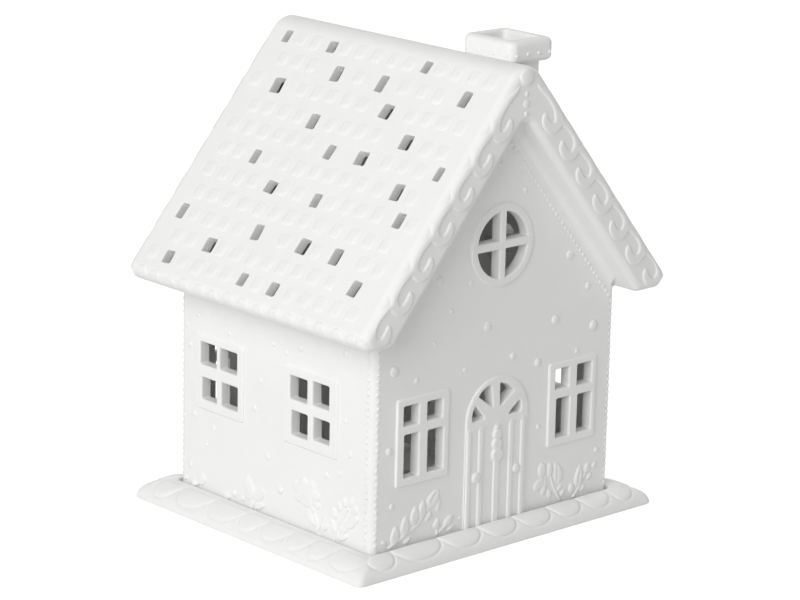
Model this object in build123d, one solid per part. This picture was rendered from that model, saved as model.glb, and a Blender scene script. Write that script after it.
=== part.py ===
from build123d import *
import math
import os

# A small house of unglazed porcelain that stands over a tealight on its own plate.
# Millimetres. X runs along the front, Y towards the back, Z up.
# The origin is the centre of the plate's underside.

# Plate
plate_width = 160.6
plate_depth = 138.2
plate_corner_radius = 4.5
plate_floor = 3.4
plate_edge_height = 2.8
rim_top = 7.5
rim_gap = 1.3
recess_corner_radius = 3.6
rim_edge_round = 0.7
plate_foot_round = 0.6
rim_levels = 6
rim_arc = math.radians(76)

# Ring on the plate that centres the tealight
ring_inner_radius = 20.4
ring_width = 2.6
ring_height = 1.5
ring_edge_round = 0.5

# Walls, cast in one with the roof and fired with it
wall_width = 130.0
wall_depth = 117.6
wall_thickness = 3.8
wall_corner_radius = 3.0
frame_relief = 0.9
frame_corner_radius = 1.3
frame_edge_round = 0.7
pane_corner_radius = 0.6
pane_edge_round = 0.75

# How far a cutter stands out past the faces that it cuts
cutter_reach = 2.0

# Roof, from the sharp ridge line that its two slopes would meet in
ridge_line_z = 197.5
slope = 1.21
ridge_radius = 10.0
eave_underside_z = 92.2
eave_radius = 4.9
front_overhang = 11.9
back_overhang = 13.2
bargeboard_depth = 16.0
cast_seam_depth = 19.7
roof_thickness = 4.2
overhang_hollow_depth = 12.0
end_thickness = 4.0
eave_hollow_x = 74.0
eave_hollow_z = 96.0
roof_edge_round = 3.4
filler_x = 75.0
soffit_edge_round = 3.0
cove_radius = 3.6
inner_apex_radius = 4.0

# Small square holes in the roof, each as place along the slope, place down the slope, width, height.
# The place along the slope is measured from the middle towards the front.
tile_holes = (
    (-59.5, 15.5, 4.0, 5.5), (-31.5, 15.8, 5.0, 5.2), (24.0, 15.4, 4.3, 5.2),
    (-20.5, 26.7, 5.0, 7.0), (6.0, 26.5, 4.5, 7.5), (52.3, 25.0, 4.7, 7.0),
    (-48.7, 37.5, 6.0, 7.0), (16.7, 37.5, 6.0, 6.3),
    (-18.3, 49.0, 5.0, 6.7), (35.7, 48.0, 5.7, 6.5),
    (-0.2, 59.8, 4.4, 6.3), (18.0, 59.0, 6.0, 6.0), (60.6, 57.3, 3.6, 6.0),
    (-37.8, 69.6, 4.3, 6.2), (45.5, 68.7, 5.0, 7.2),
    (-20.0, 80.3, 6.0, 5.3), (7.5, 80.7, 4.5, 6.0), (54.4, 79.5, 4.4, 6.5),
    (-59.6, 100.2, 4.2, 6.8), (-13.0, 100.0, 4.7, 6.8), (14.7, 100.2, 6.0, 6.5),
    (34.0, 100.4, 5.0, 7.0),
    (-34.0, 110.7, 5.8, 6.2), (52.0, 110.5, 4.9, 6.5),
    (-52.3, 120.4, 5.0, 5.5), (-6.3, 120.2, 4.4, 5.5), (12.0, 120.3, 5.0, 5.7),
)
hole_depth = 7.0
hole_corner_radius = 0.7
hole_edge_round = 0.5
hole_tilt = 4.0
hole_tilt_rate = 2.4

# Window panes, each as left, right, bottom, top, seen from outside the wall it is cut in
front_windows = (
    (
        (-50.2, -42.4, 55.8, 63.8), (-37.9, -30.0, 56.0, 63.6),
        (-49.7, -42.2, 34.9, 52.3), (-37.4, -29.2, 35.0, 52.0),
    ),
    (
        (31.8, 39.4, 55.4, 63.8), (44.1, 52.4, 55.0, 63.8),
        (32.8, 40.2, 34.9, 51.4), (44.8, 52.6, 35.0, 51.1),
    ),
)
front_frames = ((-53.7, -26.2, 31.5, 67.0), (28.2, 55.2, 31.5, 66.6))
side_windows = (
    (
        (-45.2, -35.0, 59.8, 69.2), (-33.0, -22.2, 60.0, 69.0),
        (-44.2, -34.8, 45.3, 54.5), (-31.8, -21.7, 45.0, 55.0),
    ),
    (
        (10.3, 20.6, 58.4, 68.0), (23.9, 33.5, 58.9, 68.5),
        (11.3, 21.0, 43.9, 54.0), (24.4, 34.0, 44.9, 54.2),
    ),
)
side_frames = ((-49.2, -18.3, 41.0, 72.3), (6.5, 38.4, 40.0, 72.0))
# The right wall's windows sit a little nearer the front than the left wall's, and the back wall's
# a little higher than the front wall's.
right_window_step = 2.0
back_window_rise = 3.4

# Round window in each gable
round_window_z = 120.0
round_window_radius = 13.3
round_frame_radius = 16.7
round_bar_width = 3.4

# Door with a fan light over it
door_half_width = 17.0
door_spring_z = 50.0
door_bottom_z = 3.4
door_relief = 0.5
door_rib_relief = 1.1
rib_edge_round = 0.8
door_ribs = ((-16.6, -13.9), (-10.2, -7.4), (-1.8, 1.8), (6.4, 9.2), (12.9, 15.6))
door_rib_top_z = 46.5
door_rib_overlap = 2.0
door_rib_depth = 1.0
door_rib_corner_radius = 0.3
# Fan light openings, each as its inner corner and the two ends of its curved outer side
fan_openings = (
    ((-7.0, 51.0), (-13.5, 50.3), (-12.1, 57.0)),
    ((-2.6, 54.5), (-10.5, 60.2), (-4.0, 64.0)),
    ((1.2, 54.4), (1.0, 64.1), (8.6, 59.6)),
    ((5.3, 50.1), (11.8, 55.2), (12.2, 50.2)),
)
fan_bulge = 0.9
fan_corner_radius = 0.5

# Chimney on the right-hand slope
chimney_x = 14.5
chimney_y = -44.1
cap_width = 23.6
cap_depth = 28.2
cap_bottom_z = 189.7
cap_top_z = 198.9
cap_corner_radius = 3.6
cap_edge_round = 2.5
chimney_low_z = 150.0
shaft_inset = 3.8
shaft_corner_radius = 2.0
flue_width = 8.6
flue_depth = 12.8
flue_mouth_margin = 4.6
flue_mouth_depth = 5.0
flue_corner_radius = 1.5
flue_edge_round = 1.3

# Tealight
tealight_radius = 19.0
tealight_height = 15.5
cup_wall = 0.4
cup_lip_radius = 0.55
wax_top_z = 16.0
clip_radius = 6.0
clip_thickness = 0.3
clip_neck_radius = 1.5
clip_neck_height = 3.6
wick_radius = 0.75
wick_height = 9.5

slope_length = math.hypot(1.0, slope)
slope_angle = math.degrees(math.atan(slope))
front_y = -wall_depth / 2 - front_overhang
back_y = wall_depth / 2 + back_overhang
half_width = wall_width / 2
half_depth = wall_depth / 2
inner_half_width = half_width - wall_thickness
inner_half_depth = half_depth - wall_thickness


def slope_z(depth, x):
    """Height at x of the plane that lies this deep under the roof's outer slope."""
    return ridge_line_z - depth * slope_length - slope * abs(x)


def slope_x(depth, z):
    """Half width at height z of the plane that lies this deep under the roof's outer slope."""
    return (ridge_line_z - depth * slope_length - z) / slope


def outline(points):
    """Face inside a closed row of straight lines."""
    return make_face(Polyline(*points, close=True))


def mirrored(points):
    """Closed outline from its right-hand half, which runs from the top middle to the bottom middle."""
    left = [(-x, z) for x, z in reversed(points) if x > 0]
    return outline(list(points) + left)


def along_y(face, start, end):
    """Solid with this front outline, from start to end along Y."""
    return extrude(Plane.XZ.offset(-start) * face, amount=-(end - start))


def rounded_block(width, depth, bottom, top, radius):
    """Upright block with rounded corners in plan."""
    return Pos(0, 0, bottom) * extrude(RectangleRounded(width, depth, radius), amount=top - bottom)


def place_front(solid):
    """Moves a solid drawn on the front wall, X right and Z up, onto that wall."""
    return Pos(0, -half_depth, 0) * solid


def place_back(solid):
    """The back wall's drawing is seen from the front, through the house."""
    return mirror(place_front(solid), about=Plane.XZ)


def place_left(solid):
    return Pos(-half_width, 0, 0) * Rot(0, 0, -90) * solid


def place_right(solid):
    """The right wall's drawing is seen from the left, through the house."""
    return mirror(place_left(solid), about=Plane.YZ)


def panel(left, right, bottom, top, out, inside, radius):
    """Upright slab on a wall, from out in front of its face to inside behind it."""
    centre = ((left + right) / 2, (bottom + top) / 2)
    face = Pos(*centre) * RectangleRounded(right - left, top - bottom, radius)
    return along_y(face, -out, inside)


def window_frame(edges):
    left, right, bottom, top = edges
    return panel(left, right, bottom, top, frame_relief, wall_thickness / 2, frame_corner_radius)


def window_panes(panes):
    inside = wall_thickness + cutter_reach
    return Compound([panel(*pane, cutter_reach, inside, pane_corner_radius) for pane in panes])


def moved(edges, along, up):
    left, right, bottom, top = edges
    return (left + along, right + along, bottom + up, top + up)


def round_frame():
    disc = Pos(0, round_window_z) * Circle(round_frame_radius)
    return along_y(disc, -frame_relief, wall_thickness / 2)


def round_panes():
    disc = Pos(0, round_window_z) * Circle(round_window_radius)
    bar = Rectangle(round_bar_width, 4 * round_window_radius)
    quarters = disc - Pos(0, round_window_z) * bar - Pos(0, round_window_z) * Rot(0, 0, 90) * bar
    return along_y(quarters, -cutter_reach, wall_thickness + cutter_reach)


def door_outline(half, low):
    """Door shape: straight sides under a round arch."""
    arch = Pos(0, door_spring_z) * Circle(half)
    arch -= Pos(0, door_spring_z - half) * Rectangle(3 * half, 2 * half)
    leg = Pos(0, (door_spring_z + low) / 2) * Rectangle(2 * half, door_spring_z - low)
    return arch + leg


def door_rib(left, right):
    top = door_rib_top_z + door_rib_overlap
    rib = panel(
        left, right, door_bottom_z, top, door_rib_relief, door_rib_depth, door_rib_corner_radius
    )
    return fillet(relief_edges(rib, door_rib_relief), rib_edge_round)


def door_parts(fan):
    """Arched leaf, the thicker plate round the fan light, and the upright ribs."""
    inside = wall_thickness / 2
    leaf = along_y(door_outline(door_half_width, door_bottom_z), -door_relief, inside) - fan
    head = along_y(door_outline(door_half_width, door_rib_top_z), -frame_relief, inside) - fan
    head = fillet(relief_edges(head, frame_relief), frame_edge_round)
    return [leaf, head] + [door_rib(left, right) for left, right in door_ribs]


def fan_pane(inner, first, second):
    """One opening of the fan light: two straight sides and a curved outer one."""
    middle = Vector((first[0] + second[0]) / 2, (first[1] + second[1]) / 2)
    outwards = (middle - Vector(0, door_spring_z)).normalized()
    bulge = middle + outwards * fan_bulge
    sides = [Line(inner, first), ThreePointArc(first, bulge, second), Line(second, inner)]
    face = make_face(Wire(sides))
    face = fillet(face.vertices(), fan_corner_radius)
    return along_y(face, -cutter_reach, wall_thickness + cutter_reach)


def fan_panes():
    return Compound([fan_pane(*opening) for opening in fan_openings])


def relief_edges(piece, relief):
    """Edges of the front face of a piece that stands this far out of its wall."""
    return [edge for edge in piece.edges() if in_plane_y(edge, -relief)]


def softened(frames, cuts):
    """Raised window frames with their openings cut and their front edges rounded."""
    pieces = [frame - panes for frame, panes in zip(frames, cuts)]
    return [fillet(relief_edges(piece, frame_relief), pane_edge_round) for piece in pieces]


def front_wall_relief():
    frames = [window_frame(edges) for edges in front_frames] + [round_frame()]
    cuts = [window_panes(panes) for panes in front_windows] + [round_panes()]
    fan = fan_panes()
    return softened(frames, cuts) + door_parts(fan), cuts + [fan]


def side_wall_relief(step):
    """Two windows, each moved this far towards the front."""
    frames = [window_frame(moved(edges, step, 0)) for edges in side_frames]
    cuts = [window_panes([moved(pane, step, 0) for pane in panes]) for panes in side_windows]
    return softened(frames, cuts), cuts


def back_wall_relief():
    """Two windows of the front wall's kind and a round one in the gable."""
    rise = back_window_rise
    frames = [window_frame(moved(edges, 0, rise)) for edges in front_frames]
    cuts = [window_panes([moved(pane, 0, rise) for pane in panes]) for panes in front_windows]
    frames.append(round_frame())
    cuts.append(round_panes())
    return softened(frames, cuts), cuts


def seam_prism():
    """Everything under the seam between walls and roof."""
    top = slope_z(cast_seam_depth, 0)
    low = slope_z(cast_seam_depth, plate_width)
    side = [(0, top), (plate_width, low), (plate_width, low - top), (0, low - top)]
    return along_y(mirrored(side), -plate_depth, plate_depth)


def bargeboard_section():
    """Front outline of one roof end: two slopes over the bargeboards' lower edges."""
    tip = (slope_x(0, eave_underside_z), eave_underside_z)
    inner = (slope_x(bargeboard_depth, eave_underside_z), eave_underside_z)
    face = mirrored([(0, ridge_line_z), tip, inner, (0, slope_z(bargeboard_depth, 0))])
    face = fillet([v for v in face.vertices() if v.Y > ridge_line_z - 1], ridge_radius)
    face = fillet([v for v in face.vertices() if abs(abs(v.X) - tip[0]) < 1], eave_radius)
    apex = slope_z(bargeboard_depth, 0)
    inner_apex = [v for v in face.vertices() if abs(v.Y - apex) < 1 and abs(v.X) < 1]
    return fillet(inner_apex, inner_apex_radius)


def in_plane_y(edge, y):
    """True for an edge that lies wholly in the upright plane at this y."""
    box = edge.bounding_box()
    return abs(box.min.Y - y) < 1e-3 and abs(box.max.Y - y) < 1e-3


def is_soffit_edge(edge):
    """True for an end edge on the underside of a bargeboard."""
    centre = edge.center()
    low = slope_z(bargeboard_depth, centre.X) + 1.0
    return centre.Z < low and abs(centre.X) < slope_x(bargeboard_depth, eave_underside_z)


def end_edges(solid, soffit):
    """Outline edges of the two roof ends, either those of the soffit or all the others."""
    ends = [edge for edge in solid.edges() if in_plane_y(edge, front_y) or in_plane_y(edge, back_y)]
    return [edge for edge in ends if is_soffit_edge(edge) == soffit]


def roof_block():
    """The roof as a solid block with soft edges, before it is hollowed."""
    block = along_y(bargeboard_section(), front_y, back_y)
    block = fillet(end_edges(block, False), roof_edge_round)
    block = fillet(end_edges(block, True), soffit_edge_round)
    filler = mirrored([
        (0, slope_z(bargeboard_depth / 2, 0)),
        (filler_x, slope_z(bargeboard_depth / 2, filler_x)),
        (filler_x, eave_underside_z),
        (0, eave_underside_z),
    ])
    end = half_depth - wall_corner_radius
    return block + along_y(filler, -end, end)


def eave_cove():
    """Hollow-curved fillet between the right-hand wall and the underside of the eave."""
    half = cove_radius / 2
    corner = Pos(half_width + half, eave_underside_z - half) * Rectangle(cove_radius, cove_radius)
    bite = Pos(half_width + cove_radius, eave_underside_z - cove_radius) * Circle(cove_radius)
    end = half_depth - wall_corner_radius
    return along_y(corner - bite, -end, end)


def gable_cove():
    """Hollow-curved fillet between the front gable and its right-hand soffit."""
    lower = bargeboard_depth + cove_radius
    end_x = half_width - wall_corner_radius
    band = outline([
        (0, slope_z(bargeboard_depth - 1, 0)), (end_x, slope_z(bargeboard_depth - 1, end_x)),
        (end_x, slope_z(lower, end_x)), (0, slope_z(lower, 0)),
    ])
    solid = along_y(band, -half_depth - cove_radius, -half_depth)
    axis = Plane(origin=(0, -half_depth - cove_radius, slope_z(lower, 0)), z_dir=(1, 0, -slope))
    bite = axis * Cylinder(cove_radius, 4 * half_width)
    return solid - bite


def coves():
    right = [eave_cove(), gable_cove(), Rot(0, 0, 180) * mirror(gable_cove(), about=Plane.YZ)]
    return right + [mirror(cove, about=Plane.YZ) for cove in right]


def roof_hollow():
    """Space inside the roof shell, which reaches into the overhangs all round."""
    top = slope_z(roof_thickness, 0)
    edge_top = (eave_hollow_x, slope_z(roof_thickness, eave_hollow_x))
    low = eave_hollow_z / 2
    main = mirrored([
        (0, top), edge_top, (eave_hollow_x, eave_hollow_z), (inner_half_width, eave_hollow_z),
        (inner_half_width, low), (0, low),
    ])
    band_x = slope_x(overhang_hollow_depth, eave_hollow_z)
    band_top = slope_z(overhang_hollow_depth, 0)
    band = mirrored([
        (0, top), edge_top, (eave_hollow_x, eave_hollow_z), (band_x, eave_hollow_z), (0, band_top),
    ])
    inside = along_y(main, -inner_half_depth, inner_half_depth)
    return inside + along_y(band, front_y + end_thickness, back_y - end_thickness)


def hole_cutter(along, down, width, height, number):
    """One roof hole, square to the slope, on the left-hand slope."""
    run = math.cos(math.radians(slope_angle))
    rise = math.sin(math.radians(slope_angle))
    origin = (-down * run, -along, ridge_line_z - down * rise)
    plane = Plane(origin=origin, x_dir=(0, -1, 0), z_dir=(-rise, 0, run))
    tilt = hole_tilt * math.sin(hole_tilt_rate * number)
    face = plane * (Rot(0, 0, tilt) * RectangleRounded(width, height, hole_corner_radius))
    return extrude(face, amount=-hole_depth) + extrude(face, amount=cutter_reach)


def roof_holes():
    """All holes. The right-hand slope carries the left one's pattern, turned end for end."""
    left = [hole_cutter(*hole, number) for number, hole in enumerate(tile_holes)]
    right = [Rot(0, 0, 180) * cutter for cutter in left]
    return left + right


def flue_cutter():
    """Flue from the house's inside to the chimney's mouth, which widens at the top."""
    top = cap_top_z + cutter_reach
    shaft = rounded_block(flue_width, flue_depth, chimney_low_z, top, flue_corner_radius)
    mouth_width = cap_width - 2 * flue_mouth_margin
    mouth_depth = cap_depth - 2 * flue_mouth_margin
    mouth_bottom = cap_top_z - flue_mouth_depth
    mouth = rounded_block(mouth_width, mouth_depth, mouth_bottom, top, flue_corner_radius)
    return Pos(chimney_x, chimney_y, 0) * (shaft + mouth)


def is_mouth_edge(edge):
    """True for an edge round the chimney's mouth, in the cap's top."""
    point = edge.center()
    near = abs(point.X - chimney_x) < cap_width / 2 - flue_mouth_margin / 2
    return near and abs(point.Y - chimney_y) < cap_depth / 2 - flue_mouth_margin / 2


def chimney(roof):
    """Shaft cut to the roof's slope, with its wider cap."""
    shaft_width = cap_width - 2 * shaft_inset
    shaft_depth = cap_depth - 2 * shaft_inset
    shaft_top = (cap_bottom_z + cap_top_z) / 2
    shaft = rounded_block(shaft_width, shaft_depth, chimney_low_z, shaft_top, shaft_corner_radius)
    cap = rounded_block(cap_width, cap_depth, cap_bottom_z, cap_top_z, cap_corner_radius)
    rims = cap.edges().group_by(Axis.Z)
    cap = fillet(rims[0] + rims[-1], cap_edge_round)
    stack = Pos(chimney_x, chimney_y, 0) * (shaft + cap) - roof - flue_cutter()
    mouth = [edge for edge in stack.edges().group_by(Axis.Z)[-1] if is_mouth_edge(edge)]
    return fillet(mouth, flue_edge_round)


def wall_block():
    """Four walls and both gables as one solid block."""
    block = rounded_block(wall_width, wall_depth, plate_floor, ridge_line_z, wall_corner_radius)
    depth = bargeboard_depth / 2
    top = mirrored([
        (0, slope_z(depth, 0)), (half_width, slope_z(depth, half_width)), (half_width, 0), (0, 0),
    ])
    return block & along_y(top, -half_depth, half_depth)


def room(top):
    """Space between the four walls, from below the plate up to this height."""
    return extrude(Rectangle(2 * inner_half_width, 2 * inner_half_depth), amount=top)


def wall_shell():
    """Four walls up to the seam with the roof, with their raised frames and openings."""
    walls = wall_block() & seam_prism()
    placed = (
        (place_front, front_wall_relief()),
        (place_back, back_wall_relief()),
        (place_left, side_wall_relief(0)),
        (place_right, side_wall_relief(right_window_step)),
    )
    for place, (parts, cuts) in placed:
        for cut in cuts:
            walls -= place(cut)
        for part in parts:
            walls += place(part)
    return walls - room(ridge_line_z)


def on_slope(edge):
    """True for an edge that lies in one of the roof's outer slopes."""
    points = (edge @ 0, edge @ 0.5, edge @ 1)
    return all(abs(slope_z(0, point.X) - point.Z) < 1e-3 for point in points)


def roof_shell(solid):
    """Hollow roof with its ends and eaves, from the seam up, with all its holes."""
    shell = solid - seam_prism() - room(eave_hollow_z) - roof_hollow()
    for hole in roof_holes():
        shell -= hole
    longest = 2 * max(hole[3] for hole in tile_holes)
    mouths = [edge for edge in shell.edges() if on_slope(edge) and edge.length < longest]
    shell = fillet(mouths, hole_edge_round)
    return shell - flue_cutter()


def base_plate():
    """Plate with a raised convex rim, a recess for the house and a ring for the tealight."""
    inner_width = wall_width + 2 * rim_gap
    inner_depth = wall_depth + 2 * rim_gap
    foot = rounded_block(plate_width, plate_depth, 0, plate_edge_height, plate_corner_radius)
    foot = fillet(foot.edges().group_by(Axis.Z)[0], plate_foot_round)
    sections = []
    for level in range(rim_levels + 1):
        share = level / rim_levels
        rise = math.sin(share * rim_arc) / math.sin(rim_arc)
        height = plate_edge_height + (rim_top - plate_edge_height) * rise
        width = plate_width + (inner_width - plate_width) * share
        depth = plate_depth + (inner_depth - plate_depth) * share
        sections.append(Pos(0, 0, height) * RectangleRounded(width, depth, plate_corner_radius))
    rim = loft(sections)
    top = rim_top + cutter_reach
    recess = rounded_block(inner_width, inner_depth, plate_floor, top, recess_corner_radius)
    plate = foot + rim - recess
    plate = fillet(plate.edges().group_by(Axis.Z)[-1], rim_edge_round)
    ring_face = Circle(ring_inner_radius + ring_width) - Circle(ring_inner_radius)
    ring = Pos(0, 0, plate_floor) * extrude(ring_face, amount=ring_height)
    ring = fillet(ring.edges().group_by(Axis.Z)[-1], ring_edge_round)
    return plate + ring


def upright(radius, bottom, top):
    """Round bar on the tealight's axis."""
    return Pos(0, 0, bottom) * extrude(Circle(radius), amount=top - bottom)


def tealight_cup():
    """Thin drawn metal cup with a rolled lip."""
    top = plate_floor + tealight_height
    cup = upright(tealight_radius, plate_floor, top)
    inside = upright(tealight_radius - cup_wall, plate_floor + cup_wall, top + cutter_reach)
    lip = Pos(0, 0, top - cup_lip_radius) * Torus(tealight_radius, cup_lip_radius)
    return cup + lip - inside


def wick_clip():
    """Small pressed disc with a neck that holds the wick upright."""
    bottom = plate_floor + cup_wall
    disc = upright(clip_radius, bottom, bottom + clip_thickness)
    neck = upright(clip_neck_radius, bottom, bottom + clip_neck_height)
    return disc + neck


def tealight_wick():
    bottom = plate_floor + cup_wall + clip_thickness
    return upright(wick_radius, bottom, wax_top_z + wick_height)


def tealight_wax(clip, wick):
    """Wax that fills the cup round the clip and the wick."""
    wax = upright(tealight_radius - cup_wall, plate_floor + cup_wall, wax_top_z)
    return wax - clip - wick


def write(name, solid):
    export_step(solid, os.path.join("parts", name + ".step"))


def main():
    os.makedirs("parts", exist_ok=True)
    block = wall_block() + roof_block()
    for cove in coves():
        block += cove
    wick = tealight_wick()
    clip = wick_clip() - wick
    write("base_plate", base_plate())
    write("wall_shell", wall_shell())
    write("roof_shell", roof_shell(block))
    write("chimney", chimney(block))
    write("tealight_cup", tealight_cup())
    write("tealight_wax", tealight_wax(clip, wick))
    write("tealight_wick", wick)
    write("wick_clip", clip)


main()
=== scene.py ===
import bmesh
import bpy
import math
import numpy as np
from mathutils import Matrix, Vector
from mathutils.bvhtree import BVHTree


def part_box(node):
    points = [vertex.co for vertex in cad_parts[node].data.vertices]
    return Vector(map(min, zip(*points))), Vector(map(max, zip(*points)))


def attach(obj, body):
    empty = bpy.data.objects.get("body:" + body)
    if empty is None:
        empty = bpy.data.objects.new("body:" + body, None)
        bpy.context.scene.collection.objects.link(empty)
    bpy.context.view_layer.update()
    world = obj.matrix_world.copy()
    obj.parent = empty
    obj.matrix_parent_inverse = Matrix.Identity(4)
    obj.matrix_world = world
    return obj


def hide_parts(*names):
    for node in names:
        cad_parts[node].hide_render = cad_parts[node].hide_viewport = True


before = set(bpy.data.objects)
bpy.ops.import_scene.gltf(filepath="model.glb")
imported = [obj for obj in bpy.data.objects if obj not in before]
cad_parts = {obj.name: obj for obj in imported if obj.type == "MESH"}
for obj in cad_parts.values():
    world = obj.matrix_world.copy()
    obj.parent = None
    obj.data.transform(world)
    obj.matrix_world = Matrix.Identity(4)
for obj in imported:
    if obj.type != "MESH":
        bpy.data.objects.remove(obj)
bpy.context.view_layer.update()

# Lengths are in metres, written as millimetres times mm.
mm = 0.001
object_middle = Vector((0, 0, 90 * mm))


# Camera and studio

def camera_axes(azimuth, elevation, roll):
    """The camera's right, up and backward directions."""
    a, e, r = math.radians(azimuth), math.radians(elevation), math.radians(roll)
    back = Vector((math.sin(a) * math.cos(e), -math.cos(a) * math.cos(e), math.sin(e)))
    level_right = Vector((math.cos(a), math.sin(a), 0))
    level_up = back.cross(level_right)
    right = math.cos(r) * level_right + math.sin(r) * level_up
    up = math.cos(r) * level_up - math.sin(r) * level_right
    return right, up, back


def make_camera():
    """Long lens on the corner between the front wall and the left wall."""
    frame_width_px = 800
    lens_px = 3100.2
    shift_x_px, shift_y_px = 1.82, -11.64
    azimuth, elevation, roll = -42.64, 14.86, 1.3
    distance = 1251.6 * mm
    right, up, back = camera_axes(azimuth, elevation, roll)
    data = bpy.data.cameras.new("camera")
    data.sensor_width = 36
    data.lens = lens_px * data.sensor_width / frame_width_px
    data.shift_x = shift_x_px / frame_width_px
    data.shift_y = shift_y_px / frame_width_px
    camera = bpy.data.objects.new("camera", data)
    axes = Matrix((right, up, back)).transposed().to_4x4()
    camera.matrix_world = Matrix.Translation(object_middle + back * distance) @ axes
    bpy.context.scene.collection.objects.link(camera)
    bpy.context.scene.camera = camera


def soft_light(name, place, size, power):
    """Round light that points at the object."""
    data = bpy.data.lights.new(name, "AREA")
    data.shape = "DISK"
    data.size = size
    data.energy = power
    light = bpy.data.objects.new(name, data)
    light.location = place
    light.rotation_mode = "QUATERNION"
    light.rotation_quaternion = (object_middle - Vector(place)).to_track_quat("-Z", "Y")
    bpy.context.scene.collection.objects.link(light)


def white_for_camera(nodes, links, shader):
    """Shows plain white to the camera, gloss and glass, and this shader to all other rays."""
    path = nodes.new("ShaderNodeLightPath")
    seen = nodes.new("ShaderNodeMath")
    seen.operation = "MAXIMUM"
    seen_through = nodes.new("ShaderNodeMath")
    seen_through.operation = "MAXIMUM"
    links.new(path.outputs["Is Camera Ray"], seen.inputs[0])
    links.new(path.outputs["Is Glossy Ray"], seen.inputs[1])
    links.new(seen.outputs[0], seen_through.inputs[0])
    links.new(path.outputs["Is Transmission Ray"], seen_through.inputs[1])
    mix = nodes.new("ShaderNodeMixShader")
    links.new(seen_through.outputs[0], mix.inputs["Fac"])
    links.new(shader.outputs[0], mix.inputs[1])
    return mix


def make_world():
    """Even light from all round, behind a white background."""
    fill_strength = 0.42
    world = bpy.data.worlds.new("studio")
    bpy.context.scene.world = world
    world.use_nodes = True
    nodes, links = world.node_tree.nodes, world.node_tree.links
    nodes.clear()
    fill = nodes.new("ShaderNodeBackground")
    fill.inputs["Color"].default_value = (1, 1, 0.99, 1)
    fill.inputs["Strength"].default_value = fill_strength
    white = nodes.new("ShaderNodeBackground")
    white.inputs["Strength"].default_value = 1.0
    mix = white_for_camera(nodes, links, fill)
    links.new(white.outputs[0], mix.inputs[2])
    out = nodes.new("ShaderNodeOutputWorld")
    links.new(mix.outputs[0], out.inputs["Surface"])


def make_floor():
    """Pale floor that runs out of sight and keeps a soft shadow under the plate."""
    half_size = 6
    # The camera sees the paper a little brighter than it is, so that it meets the background.
    glow_strength = 0.6
    bm = bmesh.new()
    bmesh.ops.create_grid(bm, x_segments=1, y_segments=1, size=half_size)
    mesh = bpy.data.meshes.new("floor")
    bm.to_mesh(mesh)
    bm.free()
    floor = bpy.data.objects.new("floor", mesh)
    bpy.context.scene.collection.objects.link(floor)
    material = bpy.data.materials.new("floor_white")
    material.use_nodes = True
    nodes, links = material.node_tree.nodes, material.node_tree.links
    nodes.clear()
    paper = nodes.new("ShaderNodeBsdfDiffuse")
    paper.inputs["Color"].default_value = (0.8, 0.8, 0.8, 1)
    glow = nodes.new("ShaderNodeEmission")
    glow.inputs["Strength"].default_value = glow_strength
    bright = nodes.new("ShaderNodeAddShader")
    links.new(paper.outputs[0], bright.inputs[0])
    links.new(glow.outputs[0], bright.inputs[1])
    mix = white_for_camera(nodes, links, paper)
    links.new(bright.outputs[0], mix.inputs[2])
    out = nodes.new("ShaderNodeOutputMaterial")
    links.new(mix.outputs[0], out.inputs["Surface"])
    mesh.materials.append(material)


def make_studio():
    make_world()
    make_floor()
    soft_light("key_light", (-1.6, -0.6, 0.95), 1.6, 23.5)
    # This weak one reaches the right side and the back, which the photo doesn't show.
    soft_light("side_light", (2.0, 0.7, 1.1), 1.2, 12)
    bpy.context.scene.view_settings.view_transform = "Standard"


# Materials

def new_group(name, inputs, outputs):
    """Empty shader node group with its sockets, and its nodes and links."""
    tree = bpy.data.node_groups.new(name, "ShaderNodeTree")
    for socket, kind, value in inputs:
        made = tree.interface.new_socket(socket, in_out="INPUT", socket_type=kind)
        made.default_value = value
    for socket, kind in outputs:
        tree.interface.new_socket(socket, in_out="OUTPUT", socket_type=kind)
    return tree, tree.nodes, tree.links


def noise(nodes, links, vector, scale, detail):
    """Noise pattern with this many features to the metre."""
    made = nodes.new("ShaderNodeTexNoise")
    made.inputs["Scale"].default_value = scale
    made.inputs["Detail"].default_value = detail
    links.new(vector, made.inputs["Vector"])
    return made.outputs["Fac"]


def spread(nodes, links, value, low, high):
    """Spreads a pattern's middle range from low to high."""
    middle_low, middle_high = 0.3, 0.7
    made = nodes.new("ShaderNodeMapRange")
    made.inputs["From Min"].default_value = middle_low
    made.inputs["From Max"].default_value = middle_high
    made.inputs["To Min"].default_value = low
    made.inputs["To Max"].default_value = high
    links.new(value, made.inputs["Value"])
    return made.outputs["Result"]


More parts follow.
